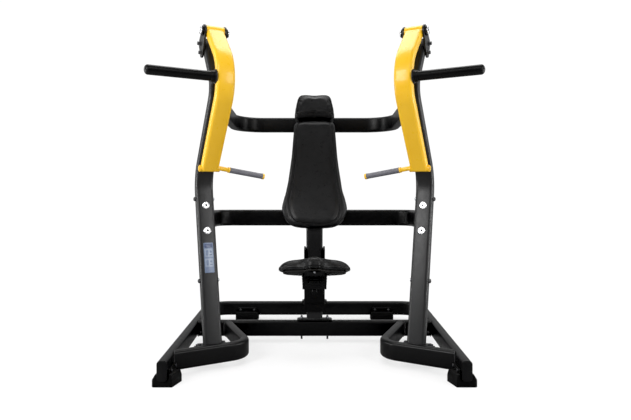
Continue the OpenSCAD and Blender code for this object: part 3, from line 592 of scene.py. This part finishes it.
def weld_ring(origin, direction, u, v_, w, h, r, point, normal, grow=0.6):
    """Bead path where a tube of section w x h along u, v_ meets a plane. mm in, metres out."""
    o, d = Vector(origin), Vector(direction).normalized()
    u, v_ = Vector(u).normalized(), Vector(v_).normalized()
    pn, pp = Vector(normal).normalized(), Vector(point)
    out = []
    for (a, c) in rr(w + 2 * grow, h + 2 * grow, r + grow, 8):
        q = o + u * a + v_ * c
        t = (pp - q).dot(pn) / d.dot(pn)
        out.append((q + d * t + pn * grow * (-1 if d.dot(pn) > 0 else 1)) / 1000)
    return even(out, 0.0011)


def add_weld(bd, pts, mr=None, r=0.0026):
    v, f = sweep(pts, r, 8, True, 0.16, 0.0042)
    bd.add(v, f, mr)


slope = (788 - 728) / (741 + 772)
X, Y, Z = Vector((1, 0, 0)), Vector((0, 1, 0)), Vector((0, 0, 1))
rail_n = Vector((1, slope, 0)).normalized()
rail_p = Vector((-728 + 25.05, -772, 80)) + Vector((0, 0, 0))
b = Build()
for _, mr in SIDES:
    add_weld(b, weld_ring((-600, 108, 80), -X, Y, Z, 50, 100, 17, rail_p, rail_n), mr @ TM)
    d1 = Vector((-365.2 + 751, -379.8 + 611.7, 0)).normalized()
    add_weld(b, weld_ring((-600, -611.7 + 151 * (231.9 / 385.8), 80), -d1, Vector((-d1.y, d1.x, 0)), Z, 50, 100, 17, rail_p, rail_n), mr @ TM)
    d2 = Vector((-549.8 + 365.2, 99.8 + 379.8, 0)).normalized()
    add_weld(b, weld_ring((-549.8, 99.8, 80), d2, Vector((-d2.y, d2.x, 0)), Z, 50, 100, 17, (0, 82.95, 0), Y), mr @ TM)
dp = Vector((0, -math.sin(D(14)), math.cos(D(14))))
add_weld(b, weld_ring((0, 108, 140), -dp, X, dp.cross(X), 100, 50, 17, (0, 0, 140.05), Z), TM)
add_weld(b, weld_ring((0, 741, 160), -Z, X, Y, 100, 50, 17, (0, 0, 140.05), Z), TM)
for _, mr in SIDES:
    r3 = MSIDE.to_3x3()
    lx = r3 @ X
    du = (r3 @ Vector((0, 200.2, 960.7))).normalized()
    o = (MSIDE @ Vector((0, -0.0146, 0.060))) * 1000
    add_weld(b, weld_ring(o, -du, lx, du.cross(lx), 100, 50, 17, (0, 0, 115.05), Z), mr)
b.make("weld_beads_base", "frame", [weldm])

b = Build()
for _, mr in SIDES:
    for (p0, p1, z, mtx, off) in (((-608, 90), (-619, -360), 782, lean1(790), 33.05), ((-542, 430), (-512, -560), 1412, lean2(1345), 49.05)):
        d = Vector((p1[0] - p0[0], p1[1] - p0[1], 0)).normalized()
        pn = (mtx.to_3x3() @ Y).normalized()
        pp = (mtx @ Vector((0, off / 1000, 0))) * 1000
        start_ = Vector((p0[0], p0[1] + MID * 1000, z)) + d * 60
        add_weld(b, weld_ring(start_, d, Vector((-d.y, d.x, 0)), Z, 50, 100, 17, pp, pn), mr)
b.make("weld_beads_crossbars", "frame", [weldm])

for sd, mr in SIDES:
    b = Build()
    ring = [HORN @ Vector((-0.0492, 0.0338 * math.cos(t), 0.0338 * math.sin(t))) for t in np.linspace(0, 2 * math.pi, 180, endpoint=False)]
    v, f = sweep(ring, 0.0024, 8, True, 0.16, 0.0042)
    b.add(v, f, mr)
    b.make("weld_bead_horn_" + sd, sd + "_arm", [weldm])

# ------------------------------------------------------------------ generic placard face

b = Build()
PL = lean1(572) @ Matrix.Translation((0, -0.02505 - 0.001, 0)) @ Matrix.Rotation(D(90), 4, "X")


def plate(bd, cx, cy, w, h, r, t, idx):
    ring = rr(w, h, r, 5)
    n = len(ring)
    lo = [((cx + x) / 1000, (cy + y) / 1000, -0.0002) for x, y in ring]
    mid = [((cx + x) / 1000, (cy + y) / 1000, t * 0.7 / 1000) for x, y in ring]
    ins = rr(w - 0.5, h - 0.5, max(0.2, r - 0.25), 5)
    top = [((cx + x) / 1000, (cy + y) / 1000, t / 1000) for x, y in ins]
    v = lo + mid + top
    f = []
    for k in (0, 1):
        for j in range(n):
            q = (j + 1) % n
            f.append([k * n + j, k * n + q, (k + 1) * n + q, (k + 1) * n + j])
    f.append([2 * n + j for j in range(n)])
    f.append([j for j in range(n)][::-1])
    bd.add(v, f, PL, idx)


plate(b, 0, 66, 46, 22, 2.5, 0.35, 0)
plate(b, 0, 27, 46, 46, 2.5, 0.3, 1)
plate(b, 0, -27, 46, 46, 2.5, 0.3, 1)
for i, wd in enumerate((40, 34, 38, 30)):
    plate(b, -(46 - wd) / 2 + 1.0, -56 - 5.2 * i, wd - 2, 1.6, 0.7, 0.25, 0)
for cy in (27, -27):
    plate(b, -9, cy, 14, 30, 6.5, 0.5, 2)
    plate(b, 11, cy + 6, 12, 12, 5.8, 0.5, 2)
    plate(b, 11, cy - 11, 14, 4, 1.8, 0.5, 0)
b.make("placard_face", "frame", [print_dark, print_pale, M["placard_blue"]])

# ------------------------------------------------------------------ upholstery


def mesh_arrays(me):
    co = np.zeros(len(me.vertices) * 3, np.float32)
    me.vertices.foreach_get("co", co)
    no = np.zeros(len(me.vertices) * 3, np.float32)
    me.vertices.foreach_get("normal", no)
    return co.reshape(-1, 3).astype(float), no.reshape(-1, 3).astype(float)


def baked(o):
    dg = bpy.context.evaluated_depsgraph_get()
    dg.update()
    me = bpy.data.meshes.new_from_object(o.evaluated_get(dg))
    return me


def use_mesh(o, me):
    old = o.data
    o.modifiers.clear()
    o.data = me
    bpy.data.meshes.remove(old)


def path_distance(co, path):
    t = kdtree.KDTree(len(path))
    for i, q in enumerate(path):
        t.insert(q, i)
    t.balance()
    return np.array([t.find(Vector(c))[2] for c in co])


def value_noise(co, scale, seed):
    """Smooth lattice noise in -1..1, seeded."""
    g = np.random.default_rng(seed).uniform(-1, 1, (32, 32, 32))
    p = co / scale
    i0 = np.floor(p).astype(int)
    fr = p - i0
    fr = fr * fr * (3 - 2 * fr)
    out = np.zeros(len(co))
    for dx in (0, 1):
        for dy in (0, 1):
            for dz in (0, 1):
                w = (fr[:, 0] if dx else 1 - fr[:, 0]) * (fr[:, 1] if dy else 1 - fr[:, 1]) * (fr[:, 2] if dz else 1 - fr[:, 2])
                out += w * g[(i0[:, 0] + dx) % 32, (i0[:, 1] + dy) % 32, (i0[:, 2] + dz) % 32]
    return out


def upholster(name, rings, local, seams, voxel, cap, rest_axis, rest_value, rest_sign, seed, lim_lo, lim_hi, pressure=4.0):
    """rings: closed loops of one start shape in the pad's own axes (mm). seams: closed paths in the same axes (mm).
    The pad stays flat where it rests: rest_sign * coordinate <= rest_sign * rest_value."""
    v, f = loft([[(q[0] / 1000, q[1] / 1000, q[2] / 1000) for q in r] for r in rings])
    me = bpy.data.meshes.new(name)
    me.from_pydata(v, [], f)
    me.update()
    o = bpy.data.objects.new(name, me)
    scene.collection.objects.link(o)
    rm = o.modifiers.new("remesh", "REMESH")
    rm.mode = "VOXEL"
    rm.voxel_size = voxel
    sm = o.modifiers.new("smooth", "SMOOTH")
    sm.factor = 0.5
    sm.iterations = 3
    use_mesh(o, baked(o))
    start_co, _ = mesh_arrays(o.data)
    seam_pts = [[Vector(q) / 1000 for q in s] for s in seams]
    allseam = [q for s in seam_pts for q in even(s, 0.0015)]
    cl = o.modifiers.new("cloth", "CLOTH")
    cs = cl.settings
    cs.quality = 5
    cs.mass = 0.3
    cs.tension_stiffness = cs.compression_stiffness = 15
    cs.shear_stiffness = 5
    cs.bending_stiffness = 0.6
    cs.use_pressure = True
    cs.uniform_pressure_force = pressure
    cs.effector_weights.gravity = 0
    cl.collision_settings.use_collision = False
    cl.point_cache.frame_start = 1
    cl.point_cache.frame_end = 20
    for fr in range(1, 21):
        scene.frame_set(fr)
    got = baked(o)
    co, _ = mesh_arrays(got)
    bpy.data.meshes.remove(got)
    o.modifiers.clear()
    scene.frame_set(1)
    move = co - start_co
    # the sewn cover holds the outline: in the plane of the pad the sides hardly move, the foam crowns outward
    ra = {"x": 0, "y": 1, "z": 2}[rest_axis]
    lo_, hi_ = start_co.min(0), start_co.max(0)
    for a_ in range(3):
        if a_ == ra:
            continue
        if a_ == 0:
            sgn = np.sign(start_co[:, 0])
        else:
            sgn = np.where(start_co[:, a_] > hi_[a_] - 0.06, 1.0, np.where(start_co[:, a_] < lo_[a_] + 0.06, -1.0, 0.0))
        g_ = move[:, a_] * sgn
        move[:, a_] = np.where(sgn == 0, np.clip(move[:, a_], -0.003, 0.003), np.clip(g_, -0.0008, 0.003) * sgn)
    d = np.linalg.norm(move, axis=1)
    near = path_distance(start_co, allseam) if allseam else np.full(len(start_co), 1.0)
    hold = 1 - 0.72 * np.exp(-(near / 0.017) ** 2)
    k = np.minimum(1.0, cap / np.maximum(d, 1e-9)) * hold
    co = start_co + move * k[:, None]
    o.data.vertices.foreach_set("co", co.astype(np.float32).ravel())
    o.data.update()
    sd_ = o.modifiers.new("sub", "SUBSURF")
    sd_.levels = sd_.render_levels = 1
    use_mesh(o, baked(o))
    co, no = mesh_arrays(o.data)
    tree = BVHTree.FromPolygons([Vector(c) for c in co], [tuple(p.vertices) for p in o.data.polygons])
    snapped = []
    for s in seam_pts:
        pts = even(s, 0.003)
        q = [tree.find_nearest(p)[0] for p in pts]
        for _ in range(6):
            q = [(q[i - 1] + q[i] * 2 + q[(i + 1) % len(q)]) / 4 for i in range(len(q))]
        q = [tree.find_nearest(p) for p in q]
        snapped.append([(a[0], a[1]) for a in q])
    if snapped:
        dense = even([a for a, _ in snapped[0]], 0.001)
        for s in snapped[1:]:
            dense += even([a for a, _ in s], 0.001)
        near = path_distance(co, dense)
        co -= no * (0.0021 * np.exp(-(near / 0.0042) ** 2) - 0.0008 * np.exp(-((near - 0.011) / 0.006) ** 2))[:, None]
        pucker = value_noise(co, 0.011, seed + 1) * np.exp(-(near / 0.018) ** 2) * 0.00055
        co += no * pucker[:, None]
    co += no * (value_noise(co, 0.055, seed) * 0.0009 + value_noise(co, 0.024, seed + 2) * 0.00025)[:, None]
    ax = {"x": 0, "y": 1, "z": 2}[rest_axis]
    if rest_sign > 0:
        co[:, ax] = np.minimum(co[:, ax], rest_value / 1000)
    else:
        co[:, ax] = np.maximum(co[:, ax], rest_value / 1000)
    co = np.clip(co, np.array(lim_lo) / 1000, np.array(lim_hi) / 1000)
    o.data.vertices.foreach_set("co", co.astype(np.float32).ravel())
    o.data.transform(local)
    o.data.update()
    o.data.polygons.foreach_set("use_smooth", [True] * len(o.data.polygons))
    o.data.materials.clear()
    o.data.materials.append(M["vinyl_black"])
    cords = [[(local @ (a - n_ * 0.0006), (local.to_3x3() @ n_).normalized()) for a, n_ in s] for s in snapped]
    return o, cords


def trim(name, cords, body, inward=None):
    """Welt cord in the seams, and a row of stitches beside each."""
    b = Build()
    for s in cords:
        pts = even([a for a, _ in s], 0.0025)
        v, f = sweep(pts, 0.0019, 8, True, 0.0)
        # welt cord in the lighter vinyl that paints the highlight along the seam
        b.add(v, f, None, 0)
        # stitches 6 mm inside the cord
        nrm = [n for _, n in s]
        base = [a for a, _ in s]
        m = len(base)
        centre = sum(base, Vector()) / m
        acc = 0.0
        for i in range(m):
            a, c = base[i], base[(i + 1) % m]
            acc += (c - a).length
            if acc < 0.0052:
                continue
            acc = 0.0
            t = (c - a).normalized()
            n = nrm[i]
            w = n.cross(t).normalized()
            if w.dot(centre - a) < 0:
                w = -w
            p = a + w * 0.0062 + n * 0.0011
            hl, hw, hh = 0.0017, 0.00045, 0.00035
            ring = []
            for (x, r) in ((-1.0, 0.35), (-0.8, 0.85), (0.0, 1.0), (0.8, 0.85), (1.0, 0.35)):
                for j in range(6):
                    q = 2 * math.pi * j / 6
                    ring.append(p + t * (hl * x) + w * (hw * r * math.cos(q)) + n * (hh * r * math.sin(q) - 0.0002 * abs(x) ** 3))
            fs = []
            for r_ in range(4):
                for j in range(6):
                    j2 = (j + 1) % 6
                    fs.append([r_ * 6 + j, r_ * 6 + j2, (r_ + 1) * 6 + j2, (r_ + 1) * 6 + j])
            fs.append([0, 1, 2, 3, 4, 5][::-1])
            fs.append([24 + j for j in range(6)])
            b.add(ring, fs, None, 1)
    return b.make(name, body, [welt_highlightm, threadm], angle=60)


KNEE_Y = 108 - (740 - 140) * math.tan(D(14))
MBACK = Matrix.Translation((0, KNEE_Y / 1000 + MID, 0.740)) @ Matrix.Rotation(D(-24), 4, "X")


def xz_ring(half, y, inset=0.0, crown=0.0, n=160):
    """Closed loop at depth y from a right-hand half outline of (x, z) points listed from the bottom centre up to the top centre."""
    pts = [(x, z) for x, z in half] + [(-x, z) for x, z in half[::-1] if x > 1e-6]
    c = chaikin([(x, z, 0) for x, z in pts], 2)
    e = even(c, 1.0)
    e = [e[int(i * len(e) / n)] for i in range(n)]
    if inset:
        out = []
        for i in range(n):
            t = (e[(i + 1) % n] - e[i - 1]).normalized()
            nn = Vector((t.y, -t.x, 0))
            out.append(e[i] - nn * inset)
        e = out
    return [(q.x, y, q.y) for q in e]


def lerp_rings(a, b_, k, y):
    return [(p[0] + (q[0] - p[0]) * k, y, p[2] + (q[2] - p[2]) * k) for p, q in zip(a, b_)]


# back pad: bevelled side bands round a crowned front panel
OUT = [(0, -44), (60, -43), (110, -36), (145, -22), (172, 4), (192, 46), (200, 85), (193, 130), (178, 195), (164, 290), (153, 387), (144, 500), (138, 610), (134, 668), (112, 704), (0, 704)]
PAN = [(0, -25), (58, -24), (98, -16), (124, -1), (142, 28), (151, 62), (155, 98), (153, 138), (145, 190), (134, 262), (125, 340), (119, 430), (116, 520), (114, 610), (111, 654), (92, 680), (0, 682)]


def paired(o_, p_, n=200):
    """The two outlines sampled at matching places."""
    A = [Vector((x, z, 0)) for x, z in o_] + [Vector((-x, z, 0)) for x, z in o_[::-1] if x > 1e-6]
    B = [Vector((x, z, 0)) for x, z in p_] + [Vector((-x, z, 0)) for x, z in p_[::-1] if x > 1e-6]
    A, B = through(A, 8), through(B, 8)
    A2, B2 = [], []
    m = len(A)
    L = [0.0]
    for i in range(m):
        L.append(L[-1] + (A[(i + 1) % m] - A[i]).length)
    j = 0
    for i in range(n):
        s = L[-1] * i / n
        while L[j + 1] < s:
            j += 1
        k = (s - L[j]) / max(1e-9, L[j + 1] - L[j])
        A2.append(A[j].lerp(A[(j + 1) % m], k))
        B2.append(B[j].lerp(B[(j + 1) % m], k))
    return A2, B2


def at_y(pts, y, k=1.0, cx=0.0, cz=0.0):
    return [(cx + (q.x - cx) * k, y, cz + (q.y - cz) * k) for q in pts]


def inset(pts, d):
    n = len(pts)
    out = []
    for i in range(n):
        t = (pts[(i + 1) % n] - pts[i - 1]).normalized()
        out.append(pts[i] + Vector((-t.y, t.x, 0)) * d)
    return out


A, B = paired(OUT, PAN)
A3 = inset(A, 1.6)
mix = lambda k: [a.lerp(c, k) for a, c in zip(A3, B)]
cz = 330
rings = [at_y(inset(A, 5.0), -37.6), at_y(inset(A, 2.2), -41), at_y(A3, -58), at_y(mix(0.12), -65), at_y(mix(0.55), -76), at_y(mix(0.9), -83.5), at_y(B, -85),
         at_y(B, -85.6, 0.93, 0, cz), at_y(B, -86.3, 0.75, 0, cz), at_y(B, -86.6, 0.4, 0, cz)]
back, cords = upholster("back_cushion", rings, MBACK, [[(q.x, -85.0, q.y) for q in B]], 0.0055, 0.011, "y", -37.6, 1, 11,
                        (-203, -101, -46), (203, -30, 706))
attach(back, "frame"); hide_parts("back_pad")
trim("back_cushion_welt", cords, "frame")

# headrest pad
HOUT = [(0, 709), (118, 709), (130, 722), (128, 760), (118, 812), (108, 862), (90, 880), (0, 880)]
HPAN = [(0, 728), (98, 728), (112, 738), (115, 764), (110, 812), (103, 848), (86, 869), (0, 871)]
A, B = paired(HOUT, HPAN, 160)
A3 = inset(A, 1.4)
mix = lambda k: [a.lerp(c, k) for a, c in zip(A3, B)]
rings = [at_y(inset(A, 3.0), -26.5), at_y(A3, -31), at_y(A3, -84), at_y(mix(0.12), -91), at_y(mix(0.55), -101), at_y(mix(0.92), -107.5), at_y(B, -108.5),
         at_y(B, -109.2, 0.9, 0, 795), at_y(B, -109.8, 0.55, 0, 795)]
head, cords = upholster("headrest_cushion", rings, MBACK, [[(q.x, -108.5, q.y) for q in B]], 0.005, 0.009, "y", -26.0, 1, 23,
                        (-133, -121, 706.5), (133, -20, 884))
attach(head, "frame"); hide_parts("headrest_pad")
trim("headrest_cushion_welt", cords, "frame")

# saddle seat, tilted nose up: a nose between two wings that roll down to their tips
MSEAT = Matrix.Translation((0, -0.225 + MID, 0.4835)) @ Matrix.Rotation(D(-14), 4, "X") @ Matrix.Translation((0, 0.225, 0))
SOUT = [(0, -400), (24, -400), (35, -390), (40, -370), (52, -340), (84, -312), (140, -300), (185, -285), (206, -245), (204, -190), (185, -140), (140, -105), (80, -85), (60, -45), (0, -45)]
SPAN = [(0, -386), (15, -386), (23, -378), (27, -362), (38, -328), (74, -292), (134, -277), (166, -264), (181, -238), (179, -196), (165, -160), (130, -130), (66, -104), (44, -62), (0, -58)]
TOPS = [(0, 57), (34, 57), (60, 55.5), (95, 54), (127, 52.5), (157, 48), (180, 44), (206, 41)]


def top_at(x):
    x = abs(x)
    for (x0, h0), (x1, h1) in zip(TOPS, TOPS[1:]):
        if x <= x1:
            return h0 + (h1 - h0) * (x - x0) / (x1 - x0)
    return TOPS[-1][1]


def roll(pts, boxy, round_, k=1.0, cx=0.0, cy=-225.0):
    """A ring at a share of the pad's height: one share over the nose, another at the wing tips."""
    out = []
    for q in pts:
        x, y = cx + (q.x - cx) * k, cy + (q.y - cy) * k
        w_ = max(0.0, min(1.0, (abs(q.x) - 50) / 130))
        w_ = w_ * w_ * (3 - 2 * w_)
        out.append((x, y, top_at(x) * (boxy + (round_ - boxy) * w_)))
    return out


A, B = paired(SOUT, SPAN, 240)
A3 = inset(A, 0.9)
mix = lambda k: [a.lerp(c, k) for a, c in zip(A3, B)]
level = lambda pts, h: [(q.x, q.y, h) for q in pts]
rings = [level(inset(A, 2.6), 0.3), level(inset(A, 1.4), 2.6), roll(A3, 0.13, 0.15), roll(A3, 0.66, 0.36), roll(mix(0.18), 0.76, 0.49), roll(mix(0.42), 0.88, 0.66), roll(mix(0.7), 0.95, 0.80),
         roll(B, 0.985, 0.90), roll(B, 1.0, 0.97, 0.88), roll(B, 1.0, 1.0, 0.6)]
seam = [(q.x, q.y, 8.0) for q in A3]
seat, cords = upholster("seat_cushion", rings, MSEAT, [seam], 0.005, 0.009, "z", 0.2, -1, 37,
                        (-208.5, -402, 0.2), (208.5, -43, 66))
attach(seat, "seat"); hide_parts("seat_pad")
trim("seat_cushion_welt", cords, "seat")

# ------------------------------------------------------------------ stage, light, camera

me = bpy.data.meshes.new("floor")
me.from_pydata([(-30, -30, 0), (30, -30, 0), (30, 30, 0), (-30, 30, 0)], [], [(0, 1, 2, 3)])
floor = bpy.data.objects.new("floor", me)
scene.collection.objects.link(floor)
fm, nt, bs, p = start("studio_floor")
n1 = noise(nt, p, 3.0, 3.0)
shown = mixc(nt, n1, rgb((0.86, 0.86, 0.865)), rgb((0.90, 0.90, 0.90)))
put(nt, bs, Base_Color=mixc(nt, N(nt, "ShaderNodeLightPath").outputs["Is Camera Ray"], rgb((0.34, 0.34, 0.34)), shown), Roughness=0.75)
bs.inputs["Specular IOR Level"].default_value = 0.2
# the pale sweep: plain floor near the machine, running out to the white of the backdrop
r_ = N(nt, "ShaderNodeVectorMath", {0: stretch(nt, p, (1.0, 0.8, 1.0))}, operation="LENGTH").outputs["Value"]
far = ramp(nt, r_, 0.5, 2.2, 0.62, 1.0)
seen_ = N(nt, "ShaderNodeLightPath").outputs["Is Camera Ray"]
em = N(nt, "ShaderNodeEmission", {"Color": (1, 1, 1, 1), "Strength": 1.02})
ad = N(nt, "ShaderNodeMixShader", {0: math_(nt, "MULTIPLY", far, seen_), 1: bs.outputs[0], 2: em.outputs[0]})
nt.links.new(ad.outputs[0], [n for n in nt.nodes if n.type == "OUTPUT_MATERIAL"][0].inputs[0])
me.materials.append(fm)

w = bpy.data.worlds.new("studio")
scene.world = w
w.use_nodes = True
nt = w.node_tree
nt.nodes.clear()
out = N(nt, "ShaderNodeOutputWorld")
d = N(nt, "ShaderNodeTexCoord").outputs["Generated"]
sep = N(nt, "ShaderNodeSeparateXYZ", {0: d})
upz = ramp(nt, sep.outputs[2], -0.1, 0.9, 0.36, 0.50)
band = math_(nt, "MULTIPLY", ramp(nt, sep.outputs[2], 0.02, 0.14, 0.16, 1.15), ramp(nt, sep.outputs[2], 0.55, 0.76, 1.0, 0.12))
front = mixf(nt, ramp(nt, sep.outputs[1], -0.75, 0.35), band, 1.0)
val = math_(nt, "MULTIPLY", upz, front)
studio = N(nt, "ShaderNodeBackground", {"Color": N(nt, "ShaderNodeCombineColor", {0: val, 1: val, 2: val}).outputs[0], "Strength": 1.0})
seen = N(nt, "ShaderNodeBackground", {"Color": (1, 1, 1, 1), "Strength": 1.02})
cam_ray = N(nt, "ShaderNodeLightPath").outputs["Is Camera Ray"]
mx = N(nt, "ShaderNodeMixShader", {0: cam_ray, 1: studio.outputs[0], 2: seen.outputs[0]})
nt.links.new(mx.outputs[0], out.inputs[0])


def area(name, loc, aim, sx, sy, power, col=(1, 1, 1)):
    l = bpy.data.lights.new(name, "AREA")
    l.shape = "RECTANGLE"
    l.size, l.size_y, l.energy, l.color = sx, sy, power, col
    o = bpy.data.objects.new(name, l)
    o.location = loc
    o.rotation_mode = "QUATERNION"
    o.rotation_quaternion = (Vector(aim) - Vector(loc)).to_track_quat("-Z", "Y")
    o.visible_camera = False
    scene.collection.objects.link(o)


area("key", (-2.5, -3.1, 2.5), (-0.1, 0, 0.95), 1.3, 1.9, 80)
area("fill", (2.7, -3.0, 2.1), (0.1, 0, 0.95), 1.1, 1.9, 42)
area("top", (0.0, 0.7, 4.2), (0, 0.2, 0), 3.2, 2.2, 85)
area("top_front", (-0.2, -3.5, 3.8), (0, 0, 0.9), 2.2, 0.8, 13)
area("strip_left", (-3.2, 0.3, 1.5), (0, 0, 1.1), 0.6, 2.8, 34)
area("strip_right", (3.2, 0.3, 1.5), (0, 0, 1.1), 0.6, 2.8, 28)
area("low_left", (-3.0, -1.15, 0.85), (0, -0.1, 0.85), 0.55, 1.0, 32)
area("low_right", (3.0, -1.15, 0.85), (0, -0.1, 0.85), 0.55, 1.0, 30)

cam = bpy.data.cameras.new("camera")
cam.sensor_width = 36.0
cam.lens = 550.0 / 631.0 * 36.0
cam.shift_x = 1.0 / 631.0
cam.shift_y = -12.0 / 631.0
cam.clip_start, cam.clip_end = 0.05, 100
co_ = bpy.data.objects.new("camera", cam)
co_.location = (0.0, -3.394 + MID, 0.906)
co_.rotation_euler = (D(90), 0, 0)
scene.collection.objects.link(co_)
scene.camera = co_
scene.view_settings.view_transform = "Standard"
scene.view_settings.look = "None"
scene.view_settings.use_curve_mapping = True
cm = scene.view_settings.curve_mapping
cm.black_level = (0.0042, 0.0042, 0.0042)
cm.white_level = (0.98, 0.98, 0.98)
cm.update()

bpy.context.view_layer.update()
